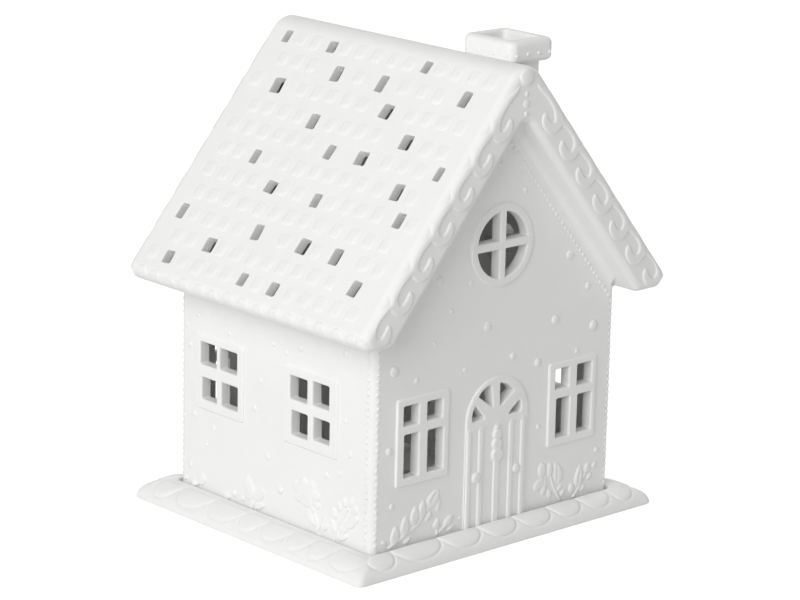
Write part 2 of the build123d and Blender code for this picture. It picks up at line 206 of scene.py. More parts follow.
def cast_grain_group():
    """Cloudy tone, uneven sheen and fine grain of cast porcelain that was fired without glaze."""
    tree, nodes, links = new_group(
        "cast_grain",
        [
            ("Light Tone", "NodeSocketColor", (0.87, 0.87, 0.86, 1)),
            ("Dark Tone", "NodeSocketColor", (0.82, 0.82, 0.80, 1)),
            ("Roughness", "NodeSocketFloat", 0.65),
        ],
        [("Color", "NodeSocketColor"), ("Roughness", "NodeSocketFloat"), ("Height", "NodeSocketFloat")],
    )
    inside = nodes.new("NodeGroupInput")
    out = nodes.new("NodeGroupOutput")
    place = nodes.new("ShaderNodeTexCoord").outputs["Object"]
    cloud = noise(nodes, links, place, 55, 3)
    speckle = noise(nodes, links, place, 900, 2)
    grain = noise(nodes, links, place, 2600, 3)
    swell = noise(nodes, links, place, 80, 2)
    cloud_share, speckle_share = 0.5, 0.35
    sheen_swing = 0.06
    grain_share = 0.1
    tone = nodes.new("ShaderNodeMix")
    tone.data_type = "RGBA"
    cloudy = nodes.new("ShaderNodeMath")
    cloudy.operation = "ADD"
    links.new(spread(nodes, links, speckle, 0, speckle_share), cloudy.inputs[0])
    links.new(spread(nodes, links, cloud, 0, cloud_share), cloudy.inputs[1])
    links.new(cloudy.outputs[0], tone.inputs["Factor"])
    links.new(inside.outputs["Light Tone"], tone.inputs["A"])
    links.new(inside.outputs["Dark Tone"], tone.inputs["B"])
    links.new(tone.outputs["Result"], out.inputs["Color"])
    sheen = nodes.new("ShaderNodeMath")
    sheen.operation = "ADD"
    links.new(inside.outputs["Roughness"], sheen.inputs[0])
    links.new(spread(nodes, links, speckle, -sheen_swing, sheen_swing), sheen.inputs[1])
    links.new(sheen.outputs[0], out.inputs["Roughness"])
    height = nodes.new("ShaderNodeMath")
    height.operation = "MULTIPLY_ADD"
    height.inputs[1].default_value = grain_share
    links.new(grain, height.inputs[0])
    links.new(swell, height.inputs[2])
    links.new(height.outputs[0], out.inputs["Height"])
    return tree


def start_material(name):
    """New material with its Principled shader, nodes and links."""
    material = bpy.data.materials.new(name)
    material.use_nodes = True
    nodes, links = material.node_tree.nodes, material.node_tree.links
    return material, nodes["Principled BSDF"], nodes, links


def use_group(nodes, tree, **values):
    """Node of a group, with some of its inputs set."""
    made = nodes.new("ShaderNodeGroup")
    made.node_tree = tree
    for name, value in values.items():
        made.inputs[name.replace("_", " ")].default_value = value
    return made


def add_bump(nodes, links, shader, height, distance):
    bump = nodes.new("ShaderNodeBump")
    bump.inputs["Distance"].default_value = distance
    links.new(height, bump.inputs["Height"])
    links.new(bump.outputs["Normal"], shader.inputs["Normal"])


def bisque_material(name, grain_group):
    """White porcelain that was fired without glaze."""
    light_tone, dark_tone = (0.88, 0.88, 0.87, 1), (0.85, 0.85, 0.84, 1)
    roughness = 0.66
    specular = 0.3
    unevenness = 0.1 * mm
    material, shader, nodes, links = start_material(name)
    body = use_group(nodes, grain_group, Light_Tone=light_tone, Dark_Tone=dark_tone, Roughness=roughness)
    links.new(body.outputs["Color"], shader.inputs["Base Color"])
    links.new(body.outputs["Roughness"], shader.inputs["Roughness"])
    shader.inputs["Specular IOR Level"].default_value = specular
    add_bump(nodes, links, shader, body.outputs["Height"], unevenness)
    return material


# Pieces

def finish_piece(bm, name, material, body):
    """Makes the object of a finished mesh, with its material and body."""
    mesh = bpy.data.meshes.new(name)
    bm.to_mesh(mesh)
    bm.free()
    mesh.materials.clear()
    mesh.materials.append(material)
    piece = bpy.data.objects.new(name, mesh)
    bpy.context.scene.collection.objects.link(piece)
    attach(piece, body)
    return piece


def smooth_skin(node, name, material, body):
    """The CAD shape as one welded, smoothly shaded skin that takes the node's place."""
    weld = 0.001 * mm
    sharpest = 34
    bm = bmesh.new()
    bm.from_mesh(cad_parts[node].data)
    bmesh.ops.remove_doubles(bm, verts=bm.verts, dist=weld)
    for face in bm.faces:
        face.smooth = True
    for edge in bm.edges:
        edge.smooth = len(edge.link_faces) == 2 and edge.calc_face_angle() < math.radians(sharpest)
    skin = finish_piece(bm, name, material, body)
    flat = skin.modifiers.new("even_shading", "WEIGHTED_NORMAL")
    flat.keep_sharp = True
    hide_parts(node)


# Places on the porcelain, in millimetres as in the CAD

half_width = 65.0
half_depth = 58.8
ridge_line_z = 197.5
slope = 1.21
run = 1 / math.hypot(1, slope)
rise = slope / math.hypot(1, slope)
roof_front_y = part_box("roof_shell")[0].y / mm
roof_back_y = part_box("roof_shell")[1].y / mm
back_window_rise = 3.4
right_window_step = 2.0


def side(origin, along, up, out):
    """A flat drawing area on the object: its origin, its two directions and the way out of it."""
    return Vector(origin), Vector(along), Vector(up), Vector(out)


front_wall = side((0, -half_depth, 0), (1, 0, 0), (0, 0, 1), (0, -1, 0))
back_wall = side((0, half_depth, 0), (1, 0, 0), (0, 0, 1), (0, 1, 0))
left_wall = side((-half_width, 0, 0), (0, -1, 0), (0, 0, 1), (-1, 0, 0))
right_wall = side((half_width, 0, 0), (0, -1, 0), (0, 0, 1), (1, 0, 0))
# On the slopes, the second direction runs down from the ridge line.
left_slope = side((0, 0, ridge_line_z), (0, -1, 0), (-run, 0, -rise), (-rise, 0, run))
right_slope = side((0, 0, ridge_line_z), (0, 1, 0), (run, 0, -rise), (rise, 0, run))


def board(end_y, hand):
    """Bargeboard: the first direction runs down from the ridge, the second out to the roof's edge."""
    out = (0, 1 if end_y > 0 else -1, 0)
    return side((0, end_y, ridge_line_z), (hand * run, 0, -rise), (hand * rise, 0, run), out)


# Ground that the ornaments are pressed onto

def ground_of(node):
    """Search tree of a CAD node's surface."""
    bm = bmesh.new()
    bm.from_mesh(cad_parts[node].data)
    tree = BVHTree.FromBMesh(bm)
    bm.free()
    return tree


# A ray starts this far outside the drawing area and ends as far inside it.
ray_reach = 6.0


def on_ground(ground, area, a, b):
    """Point and normal of the surface under a point of a drawing area, or None over a hole.
    Without a ground it is the drawing area itself."""
    origin, along, up, out = area
    point = origin + along * a + up * b
    if ground is None:
        return point * mm, out
    place, normal, _, _ = ground.ray_cast((point + out * ray_reach) * mm, -out, 2 * ray_reach * mm)
    return (place, normal) if place else None


# How far the hidden back of a pressed sheet lies under its face
sheet_back = 0.3
dip = 0.5


# Shapes of relief, as depths in millimetres inside their outline (below 0 outside it)

leaf_fullness = 1.2
far_away = 1e3


def leaf(a, b, x, z, length, width, lean, taper=0.2):
    """Leaf that leans this many degrees towards the first direction."""
    c, s = math.cos(math.radians(lean)), math.sin(math.radians(lean))
    lengthwise = ((a - x) * s + (b - z) * c) / (length / 2)
    half = width / 2 * leaf_fullness * (1 - taper * np.clip(lengthwise, -1, 1))
    across = ((a - x) * c - (b - z) * s) / half
    return (1 - np.hypot(lengthwise, across)) * width / 2


def stroke(a, b, points):
    """Rounded stroke through points, each with its own half width."""
    depth = np.full(np.shape(a), -far_away)
    for (ax, az, ar), (bx, bz, br) in zip(points, points[1:]):
        dx, dz = bx - ax, bz - az
        t = np.clip(((a - ax) * dx + (b - az) * dz) / (dx * dx + dz * dz), 0, 1)
        depth = np.maximum(depth, ar + t * (br - ar) - np.hypot(a - ax - t * dx, b - az - t * dz))
    return depth


def pillow(depth, height, edge):
    """Relief of this height whose soft edge is this wide. Outside it dips under the surface."""
    t = np.clip(depth / edge, -1, 1)
    return np.maximum(height * np.where(t > 0, t * (2 - t), 2 * t), -dip)


def groove(a, b, points, width, depth):
    """Soft groove along a line."""
    distance = -stroke(a, b, [(x, z, 0) for x, z in points])
    return depth * np.exp(-(distance / width) ** 2)


def press(bm, ground, area, extent, cell, relief):
    """Adds a raised sheet to a mesh. Its edge lies under the surface, and its back closes it."""
    origin, along, up, out = area
    left, right, low, high = extent
    columns = math.ceil((right - left) / cell)
    rows = math.ceil((high - low) / cell)
    verts = bmesh.ops.create_grid(bm, x_segments=columns, y_segments=rows, size=0.5)["verts"]
    flat = np.array([vert.co for vert in verts])
    a = left + (flat[:, 0] + 0.5) * (right - left)
    b = low + (flat[:, 1] + 0.5) * (high - low)
    heights = relief(a, b)
    raised = {vert: height > 0 for vert, height in zip(verts, heights)}
    faces = {face for vert in verts for face in vert.link_faces}
    bare = [face for face in faces if not any(raised[vert] for vert in face.verts)]
    bmesh.ops.delete(bm, geom=bare, context="FACES")
    kept = [(v, h, x, z) for v, h, x, z in zip(verts, heights, a, b) if v.is_valid]
    missed = []
    for vert, height, x, z in kept:
        found = on_ground(ground, area, x, z)
        if found:
            vert.co = found[0] + out * (height * mm)
        else:
            missed.append(vert)
    bmesh.ops.delete(bm, geom=missed, context="VERTS")
    top = list({face for vert, *_ in kept if vert.is_valid for face in vert.link_faces})
    made = bmesh.ops.extrude_face_region(bm, geom=top, use_keep_orig=True)["geom"]
    back = [item for item in made if isinstance(item, bmesh.types.BMVert)]
    bmesh.ops.translate(bm, verts=back, vec=-out * (sheet_back * mm))
    top = set(top)
    for vert in back:
        for edge in vert.link_edges:
            for face in edge.link_faces:
                for rim_edge in face.edges:
                    rim_edge.smooth = not (top & set(rim_edge.link_faces))


def bump_at(bm, ground, area, a, b, radius, height, segments=10, rings=6):
    """Low dome on the surface, half sunk in it."""
    found = on_ground(ground, area, a, b)
    if not found:
        return
    place, normal = found
    size = Matrix.Diagonal((radius * mm, radius * mm, height * mm, 1))
    turn = normal.to_track_quat("Z", "Y").to_matrix().to_4x4()
    matrix = Matrix.Translation(place) @ turn @ size
    bmesh.ops.create_uvsphere(bm, u_segments=segments, v_segments=rings, radius=1, matrix=matrix)


def finish_relief(bm, name, material, body):
    """Makes the object of a mesh whose faces all point outwards and are shaded smoothly."""
    bmesh.ops.recalc_face_normals(bm, faces=bm.faces)
    for face in bm.faces:
        face.smooth = True
    return finish_piece(bm, name, material, body)


# Snow dots and bead rows, each dot as its place along the wall, its height and its radius

front_dots = (
    (-26, 97.5, 1.2), (-6.5, 88, 2), (-34.5, 86, 1), (31, 84.5, 2), (-55, 78.5, 2.2), (53, 78.5, 2.2),
    (-43.5, 73, 1.2), (-18, 72.5, 1), (8, 73.5, 1.5), (22, 68.5, 1.8), (44, 69.5, 1.2), (-57, 47, 1.7),
    (23.5, 41.5, 1.2), (57.5, 25, 1.2), (-55, 24.5, 1.3), (49, 95.5, 1.5), (-32.5, 110.5, 1.8),
    (-16, 107, 1.2), (38, 110, 2), (12, 140, 1.3), (-2, 152, 1.2), (-18.8, 12, 0.8),
)
side_dots = (
    (-47.5, 79.5, 1), (-37, 79.5, 1.2), (-54.5, 74, 1), (-17.5, 81.5, 0.8), (-52.5, 66, 1.2),
    (-0.5, 78, 1.2), (15.5, 80, 1.7), (7, 76, 1.1), (42, 83.5, 1.7), (-28, 76, 1), (-8.5, 61, 1.4),
    (-12, 49, 1.4), (42.5, 57, 1.3), (45.5, 44, 1.4), (-50, 37.5, 1.4), (-55.5, 36, 1),
    (-37.5, 34.5, 1.4), (-3.5, 31, 1.6), (32, 32.5, 1.4), (40, 35, 1.4), (-42, 26.5, 1.2),
    (4.5, 19.3, 1.9), (-51.8, 15.5, 1.8), (-18.3, 9.8, 1.4), (-23.8, 10.3, 1.5),
)
# Dots above this height keep their distance from the windows, which sit differently on two walls.
window_zone_low = 30


def add_dots(bm, ground):
    """Snow dots. The larger ones stand out further."""
    least_height, height_gain = 0.15, 0.32
    for area, dots, step, lift in (
        (front_wall, front_dots, 0, 0), (back_wall, front_dots, 0, back_window_rise),
        (left_wall, side_dots, 0, 0), (right_wall, side_dots, right_window_step, 0),
    ):
        for along, up, radius in dots:
            high = up > window_zone_low
            place = (along + step * high, up + lift * high)
            bump_at(bm, ground, area, *place, radius, least_height + height_gain * radius, 14, 8)


def add_bead_rows(bm, ground):
    """Rows of small beads up the wall corners and under the roof's edge in both gables."""
    radius, height, pitch = 0.85, 0.4, 2.75
    low, high = 10, 88
    steps = round((high - low) / pitch)
    unevenness = 0.15
    wide, near, rear = 63.0, 55.0, -57.8
    columns = (
        (front_wall, -wide), (front_wall, wide), (back_wall, -wide), (back_wall, wide),
        (left_wall, near), (left_wall, rear), (right_wall, near), (right_wall, rear),
    )
    for area, along in columns:
        for number in range(steps + 1):
            wobble = unevenness * math.sin(5.1 * number + along)
            bump_at(bm, ground, area, along + wobble, low + pitch * number, radius, height, 8, 5)
    gable_depth = 21.4
    gable_count = 35
    apex = ridge_line_z - gable_depth * math.hypot(1, slope)
    for area in (front_wall, back_wall):
        for number in range(-gable_count, gable_count + 1):
            along = number * pitch * run
            bump_at(bm, ground, area, along, apex - slope * abs(along), radius, height, 8, 5)


# Twigs and leaves low on the walls

# Leaves as (place along the wall, height, length, width, lean and, on a few, taper)
front_leaf_rows = (
    (-53, 12.3, 8, 4, 5), (-47.8, 15, 9, 4, 5), (-42.8, 18.3, 8, 3.8, 5), (-38.8, 19.7, 8.5, 3.6, 5),
    (-33, 23.3, 8.5, 5, 35, 0.35), (-30.5, 20.3, 6, 2.5, 10), (-35.5, 16.6, 5, 2.6, 40),
    (-46.5, 8.9, 5, 1.9, 60), (-58.8, 10.5, 4, 1.7, -60), (-31, 12.7, 5, 3, 10, 0.5),
    (-24.8, 12.3, 6.5, 3.2, 50), (-23.3, 9.3, 4.5, 1.9, 65), (26.5, 22.8, 6.5, 4, 0),
    (25, 16.9, 7, 3.8, 60), (28, 15.4, 8, 2.6, 10), (31, 11.8, 5, 2.6, -20), (31, 22, 6, 3, 0),
    (35.6, 19.8, 10, 4.4, -18, 0.3), (36.7, 13, 5, 2, 55), (38.6, 10.6, 4, 2, 35),
    (43.8, 11.5, 5, 3, -10), (47.8, 15.5, 10, 4, 8), (52.5, 18.5, 4.5, 3, 20), (56.5, 18.8, 3, 2, 50),
    (50.3, 10.3, 4, 2, 60), (54, 14.5, 4, 2, 55),
)
side_leaf_rows = (
    (-14.7, 15, 10.5, 5.6, -14), (-8, 14, 8.5, 4.2, 52), (-7.6, 9.2, 6.5, 2.6, 68),
    (-44.5, 11, 5.6, 4.6, 60), (-49.5, 7.8, 3.2, 2.8, 0), (-55, 8.7, 3.2, 1.4, 70),
    (-28.5, 7.8, 5, 3, 80), (23.3, 12.2, 7.5, 3.2, -60), (32, 11.2, 5, 2.2, 55),
    (36.4, 13.2, 6, 2.4, -18), (36.9, 18.2, 5, 3, -22), (39.8, 21.9, 4.5, 2.5, -15),
    (43, 24.2, 4.6, 2.8, -4), (46.6, 25.4, 4.5, 2.5, 15), (49.4, 22.4, 4.5, 2.4, 25),
    (42.4, 9.7, 7, 2.3, 66), (43, 12.8, 5.5, 2.3, 66), (46, 15.6, 7, 2.6, 74), (48.6, 18.4, 6.5, 3, 62),
)
# Stems as rows of (place along the wall, height, half width)
front_stems = (
    ((-56, 8, 0.7), (-50, 10.3, 0.7), (-41, 14.5, 0.6), (-38, 17.5, 0.5), (-35, 20, 0.5)),
    ((-31, 8, 0.6), (-30.6, 11, 0.5)), ((-31, 8, 0.6), (-26.5, 10.5, 0.5)),
    ((37, 8, 0.8), (33, 15, 0.6), (31.5, 19, 0.5)), ((45, 7.5, 0.7), (48, 11, 0.6), (51.5, 16, 0.5)),
)
side_stems = (
    ((-12.8, 6.5, 0.6), (-13.4, 10.5, 0.5)), ((-12.6, 6.5, 0.6), (-10.5, 11, 0.5)),
    ((-49, 7, 0.5), (-45.5, 8.8, 0.5)), ((25.6, 15.2, 0.7), (27.3, 11.5, 0.7), (27.6, 7, 0.9)),
    ((31, 15.8, 0.6), (27.6, 8, 0.8)), ((37.5, 6.5, 0.8), (39.3, 12, 0.6), (42.2, 17, 0.6), (45, 22, 0.5)),
)


def leaves_and_stems(a, b, leaves, stems):
    """Depth inside each leaf and each stem of one wall."""
    return [leaf(a, b, *row) for row in leaves] + [stroke(a, b, points) for points in stems]


def front_leaves(a, b):
    """Sprays of leaves at both ends of the front wall."""
    parts = leaves_and_stems(a, b, front_leaf_rows, front_stems)
    height, edge = 0.6, 0.9
    veins = groove(a, b, [(-34.5, 22.2), (-31.6, 25.8)], 0.4, 0.35)
    veins = veins + groove(a, b, [(35.2, 15.5), (34.8, 23.5)], 0.4, 0.35)
    veins = veins + groove(a, b, [(47.2, 11.5), (48.4, 19)], 0.35, 0.25)
    return pillow(np.max(parts, axis=0), height, edge) - veins


def side_leaves(a, b):
    """Twigs, a big lobed leaf and a frond on a side wall."""
    # The big leaf: its middle, its foot and its lobes, each with a half width
    heart = (20.5, 21.6, 5.4)
    foot = (25.6, 15.2, 0.7)
    lobes = (
        (14.3, 24.0, 2.3), (18.6, 26.2, 2.3), (23.4, 25.4, 2.2), (26.8, 22.2, 2.1), (27.0, 18.6, 1.7),
        (15.6, 19.2, 2.0), (21.5, 18.2, 1.5),
    )
    parts = leaves_and_stems(a, b, side_leaf_rows, side_stems)
    inner_half_width, midrib_half_width = 2.6, 1.8
    parts.append(heart[2] - np.hypot(a - heart[0], b - heart[1]))
    for lobe in lobes:
        parts.append(stroke(a, b, [(*heart[:2], inner_half_width), lobe]))
    parts.append(stroke(a, b, [(*heart[:2], midrib_half_width), foot]))
    veins = sum(groove(a, b, [foot[:2], lobe[:2]], 0.3, 0.2) for lobe in lobes[:5:2])
    depth = np.max(parts, axis=0)
    height, edge, fullness = 0.65, 0.5, 0.12
    return pillow(depth, height, edge) + fullness * np.clip(depth, 0, 3) - veins


def add_leaves(bm, ground):
    """Leaves on all four walls, in patches that hold one group each."""
    cell = 0.36
    for area in (front_wall, back_wall):
        press(bm, ground, area, (-61, -20.5, 6.4, 29), cell, front_leaves)
        press(bm, ground, area, (20.5, 59.5, 6.4, 27.5), cell, front_leaves)
    for area in (left_wall, right_wall):
        press(bm, ground, area, (-57.3, -40, 6.4, 14.5), cell, side_leaves)
        press(bm, ground, area, (-31, -2.5, 5.5, 21.5), cell, side_leaves)
        press(bm, ground, area, (10.5, 54, 5.5, 30), cell, side_leaves)


# The bunch and the knobs on the door, as circles of (place, height, radius)
garland = ((-0.6, 46.3, 1.3), (0, 43.3, 2.7), (0, 39.2, 3.0), (0.2, 34.8, 3.4))
knobs = ((-11, 27.3, 2.6), (10.8, 27, 2.3))


def garland_relief(a, b):
    """Flat bunch on the middle rib and a knob on either side, measured from the wall's plane."""
    height, edge, lift = 1.35, 1.0, 0.22
    parts = [radius - np.hypot(a - x, b - z) for x, z, radius in garland + knobs]
    return pillow(np.max(parts, axis=0), height, edge) + lift


def add_door_garland(bm, ground):
    """The bunch and the knobs. Only the front wall has a door, and its ribs aren't followed."""
    cell = 0.42
    for extent in ((-4, 4, 31, 48), (-14, -8, 24, 31), (8, 14, 24, 31)):
        press(bm, None, front_wall, extent, cell, garland_relief)


# Roof ornaments

tile_rows = (15.5, 26, 37, 48.5, 58.5, 69.5, 80, 90.5, 100.5, 111, 120.5)
tile_holes = (
    (-59.5, 15.5), (-31.5, 15.8), (24.0, 15.4), (-20.5, 26.7), (6.0, 26.5), (52.3, 25.0), (-48.7, 37.5),
    (16.7, 37.5), (-18.3, 49.0), (35.7, 48.0), (-0.2, 59.8), (18.0, 59.0), (60.6, 57.3), (-37.8, 69.6),
    (45.5, 68.7), (-20.0, 80.3), (7.5, 80.7), (54.4, 79.5), (-59.6, 100.2), (-13.0, 100.0), (14.7, 100.2),
    (34.0, 100.4), (-34.0, 110.7), (52.0, 110.5), (-52.3, 120.4), (-6.3, 120.2), (12.0, 120.3),
)


def tile_relief(x, v, width, length, turn):
    """Soft square that is a little thicker at its lower end."""
    def relief(a, b):
        c, s = math.cos(turn), math.sin(turn)
        across = np.abs((a - x) * c + (b - v) * s)
        down = (b - v) * c - (a - x) * s
        corner, edge = 1.6, 1.0
        thinnest, gain = 0.12, 0.46
        past_x = np.maximum(across - width / 2 + corner, 0)
        past_v = np.maximum(np.abs(down) - length / 2 + corner, 0)
        inner = np.minimum(width / 2 - across, length / 2 - np.abs(down))
        depth = np.where((past_x > 0) & (past_v > 0), corner - np.hypot(past_x, past_v), inner)
        thickness = thinnest + gain * np.clip(down / length + 0.5, 0, 1)
        return pillow(depth, 1, edge) * thickness
    return relief


def add_tiles(bm, ground, area, beside_chimney=False):
    """Rows of soft tiles between the holes. No two tiles are quite alike."""
    pitch = 9.25
    widest_u = 62.5
    clear_u, clear_v = 7.2, 8
    mean_width, mean_length = 6.2, 6.6
    half_u, half_v = 4.2, 4.6
    cell = 1.05
    for row, v in enumerate(tile_rows):
        shift = 0.5 * (row % 2) * pitch + 1.7 * math.sin(2.3 * row)
        for number in range(-7, 8):
            wobble = math.sin(7.3 * number + 3.1 * row)
            u = number * pitch + shift % pitch - pitch / 2 + 0.5 * wobble
            clear = all(abs(u - x) > clear_u or abs(v - z) > clear_v for x, z in tile_holes)
            if abs(u) > widest_u or not clear or (beside_chimney and over_chimney(u, v)):
                continue
            width = mean_width + 0.5 * math.sin(3.7 * number + row)
            length = mean_length + 0.4 * math.sin(2.9 * number + 2 * row)
            relief = tile_relief(u, v + 0.4 * wobble, width, length, 0.06 * wobble)
            extent = (u - half_u, u + half_u, v - half_v, v + half_v)
            press(bm, ground, area, extent, cell, relief)


def over_chimney(u, v):
    """True where a tile of the right-hand slope would meet the chimney."""
    chimney_u, half_u, lowest_v = -44.1, 18, 34
    return abs(u - chimney_u) < half_u and v < lowest_v


def eave_relief(a, b):
    """Row of small tongues along the eave."""
    pitch, half = 9.1, 3.3
    mean_top, unevenness = 127.2, 0.5
    number = np.round(a / pitch)
    middle = number * pitch + unevenness * np.sin(3.3 * number)
    top = mean_top + unevenness * np.sin(2.1 * number)
    across = a - middle
    inner = np.minimum(half - np.abs(across), half)
    round_end = half - np.hypot(across, b - top - half)
    depth = np.where(b < top + half, round_end, inner)
    height, edge = 0.6, 0.8
    line_depth, line_width, line_offset = 0.3, 0.45, 0.2
    fade_end, fade_length = 134.5, 2.5
    fade = np.clip((fade_end - b) / fade_length, 0, 1)
    line = line_depth * np.exp(-((depth + line_offset) / line_width) ** 2) * fade
    return pillow(depth, height, edge) - line - (1 - fade) * height


def add_eave_tongues(bm, ground, area):
    cell = 0.55
    press(bm, ground, area, (-66, 66, 125.5, 135.5), cell, eave_relief)


# Outline of one running wave, from its crest round its hollow and its eye to the next crest. Each
# point is a distance down the bargeboard and a depth under the roof's edge, from the wave's crest.
wave_outline = (
    (0.0, 0.0), (5.2, -1.0), (9.3, -0.4), (10.9, 1.3), (10.6, 2.9), (8.4, 3.3), (6.2, 2.9), (4.5, 3.2),
    (4.3, 5.0), (6.3, 7.0), (9.6, 7.7), (12.5, 7.0), (15.0, 4.9), (15.7, 2.4),
)
first_tail = ((11.0, 4.8), (16.0, 5.2), (20.5, 4.5), (26.0, 4.6), (29.4, 5.8), (31.0, 7.5))
first_crest = (20.4, 5.2)
wave_crests = ((36.0, 5.2), (51.2, 5.3), (66.9, 5.3), (82.6, 5.2), (97.9, 4.9), (113.4, 3.9))
last_crest = (129.0, 3.0)


def curved(points, steps=4):
    """The same row of points with smooth curves through them."""
    p = np.array([points[0], *points, points[-1]], float)
    made = []
    for i in range(1, len(p) - 2):
        for t in np.arange(steps) / steps:
            made.append(0.5 * (
                2 * p[i] + (p[i + 1] - p[i - 1]) * t
                + (2 * p[i - 1] - 5 * p[i] + 4 * p[i + 1] - p[i + 2]) * t ** 2
                + (3 * p[i] - p[i - 1] - 3 * p[i + 1] + p[i + 2]) * t ** 3
            ))
    return np.array([*made, p[-1]])


def wave_line():
    """The whole lower outline of the waves on one bargeboard."""
    eye = [(first_crest[0] + s, first_crest[1] + d) for s, d in wave_outline[5:]]
    rows = [curved([*first_tail, *eye, wave_crests[0]])]
    for crest, following in zip(wave_crests, (*wave_crests[1:], last_crest)):
        outline = [(crest[0] + s, crest[1] + d) for s, d in wave_outline]
        rows.append(curved([*outline, following]))
    return np.vstack(rows)


def inside_row(a, b, row, far):
    """Depth inside the area between a row of points and a far line above it, below 0 outside."""
    distance = np.full(np.shape(a), far_away)
    inside = np.zeros(np.shape(a), bool)
    ends = [(row[-1][0], far), (row[0][0], far)]
    closed = np.vstack([row, ends, row[:1]])
    for number, ((ax, az), (bx, bz)) in enumerate(zip(closed, closed[1:])):
        dx, dz = bx - ax, bz - az
        length = dx * dx + dz * dz
        if length < 1e-9:
            continue
        if number < len(row) - 1:
            t = np.clip(((a - ax) * dx + (b - az) * dz) / length, 0, 1)
            distance = np.minimum(distance, np.hypot(a - ax - t * dx, b - az - t * dz))
        if dz:
            crosses = ((az > b) != (bz > b)) & (a < ax + (b - az) * dx / dz)
            inside ^= crosses
    return np.where(inside, distance, -distance)


def waves_relief(a, b):
    """Raised waves that run out into the rounded edge of the roof."""
    relief_height, soft_edge = 0.62, 0.95
    above_roof = -20
    height = pillow(inside_row(a, -b, wave_line(), above_roof), relief_height, soft_edge)
    # How far under the roof's edge the waves fade out: more at the top and behind each crest
    least_depth, fade_length = -0.3, 2.4
    top_depth, top_end, top_length = 4.2, 21, 9
    crest_depth, crest_length, crest_back = 2.0, 2.4, 2
    edge = top_depth * np.clip((top_end - a) / top_length, 0, 1) + least_depth
    for down, _ in wave_crests:
        edge = edge + crest_depth * np.exp(-((a - down + crest_back) / crest_length) ** 2)
    fade = np.clip((-b - edge) / fade_length, 0, 1)
    return (height + dip) * fade * (2 - fade) - dip


def add_waves(bm, ground):
    """Running waves down all four bargeboards."""
    cell = 0.42
    for end_y in (roof_front_y, roof_back_y):
        for hand in (-1, 1):
            press(bm, ground, board(end_y, hand), (9, 131, -15, 0.2), cell, waves_relief)


def add_apex(bm, ground):
    """Three beads in the apex of each bargeboard. The front one hangs under a boss."""
    middle = -0.9
    boss_z, boss_radius, boss_height = 188.0, 3.7, 0.95
    bead_height = 0.45
    for end_y in (roof_front_y, roof_back_y):
        area = side((0, end_y, 0), (1, 0, 0), (0, 0, 1), board(end_y, 1)[3])
        if end_y < 0:
            bump_at(bm, ground, area, middle, boss_z, boss_radius, boss_height, 28, 16)
        for up, radius in ((181.5, 1.1), (177.5, 1.8), (173.8, 1.1)):
            bump_at(bm, ground, area, middle, up, radius, bead_height, 14, 8)


def add_cap_beads(bm, ground):
    """Small beads low on the chimney's cap."""
    bead_z, unevenness = 193.2, 0.3
    radius, height = 0.8, 0.5
    end_margin = 3
    count = 4
    low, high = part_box("chimney")
    middle = (low + high) / 2 / mm
    size = (high - low) / mm
    for turn in range(0, 360, 90):
        a = math.radians(turn)
        out = Vector((math.sin(a), -math.cos(a), 0))
        along = Vector((math.cos(a), math.sin(a), 0))
        half = (size.x if turn % 180 else size.y) / 2
        length = (size.y if turn % 180 else size.x) / 2
        area = (Vector((middle.x, middle.y, 0)) + out * half, along, Vector((0, 0, 1)), out)
        for number in range(count):
            place = (number - (count - 1) / 2) * 2 * (length - end_margin) / (count - 1)
            up = bead_z + unevenness * math.sin(number)
            bump_at(bm, ground, area, place, up, radius, height, 10, 6)


# Plate rim: a full roll round the recess, with lobes drawn on it

rim_gap = 1.3
rim_inner_x = half_width + rim_gap
rim_inner_y = half_depth + rim_gap
rim_outer_x = 80.9
rim_outer_y = 69.7
rim_top_z = 7.55
rim_fullness = 2.2
rim_corner = 3.0
# The lobes stop this far before the rim's foot, and start this far from it
lobe_foot = 3.6
lobe_start = 13.8
# Places along the rim's inner edge where two lobes meet
front_lobes = (-73.5, -58, -33, -12, 7.5, 26.5, 43.5, 60, 73)
side_lobes = (-62.5, -48.5, -28.5, -8.3, 5.2, 20.8, 33.8, 46.8, 65)


def rim_section(width):
    """Section of the rim as distances outwards and heights. It closes inside the plate."""
    lip = 0.8
    turn = np.radians(np.linspace(0, 90, 41))
    out = lip + (width - lip) * np.sin(turn) ** (2 / rim_fullness)
    up = rim_top_z * np.cos(turn) ** (2 / rim_fullness)
    distance = [0.6, 0.0, 0.0, 0.25, *out, width - 0.5, width - 2.0, 0.6]
    height = [5.6, 6.2, 7.0, 7.4, *np.maximum(up, 0.5), 0.05, 0.4, 5.6]
    return np.array(distance), np.array(height)


def lobes_relief(a, down, edges, reach):
    """Height of full round lobes with a drawn line round each."""
    squareness = 2.3
    puff_height, puff_fullness = 0.55, 0.7
    start_fade = 1.0
    line_depth, line_width = 0.5, 0.42
    outer = np.full(np.shape(a), far_away)
    depth = np.full(np.shape(a), -far_away)
    for start, end in zip(edges, edges[1:]):
        half = (end - start) / 2
        across = np.abs(a - (start + end) / 2) / half
        here = (across ** squareness + np.abs(down / reach) ** squareness) ** (1 / squareness)
        outer = np.minimum(outer, here)
        depth = np.maximum(depth, (1 - here) * min(half, reach))
    puff = puff_height * np.clip(1 - outer ** 2, 0, 1) ** puff_fullness
    line = line_depth * np.exp(-(depth / line_width) ** 2)
    return (puff - line) * np.clip((down + start_fade) / (2 * start_fade), 0, 1)


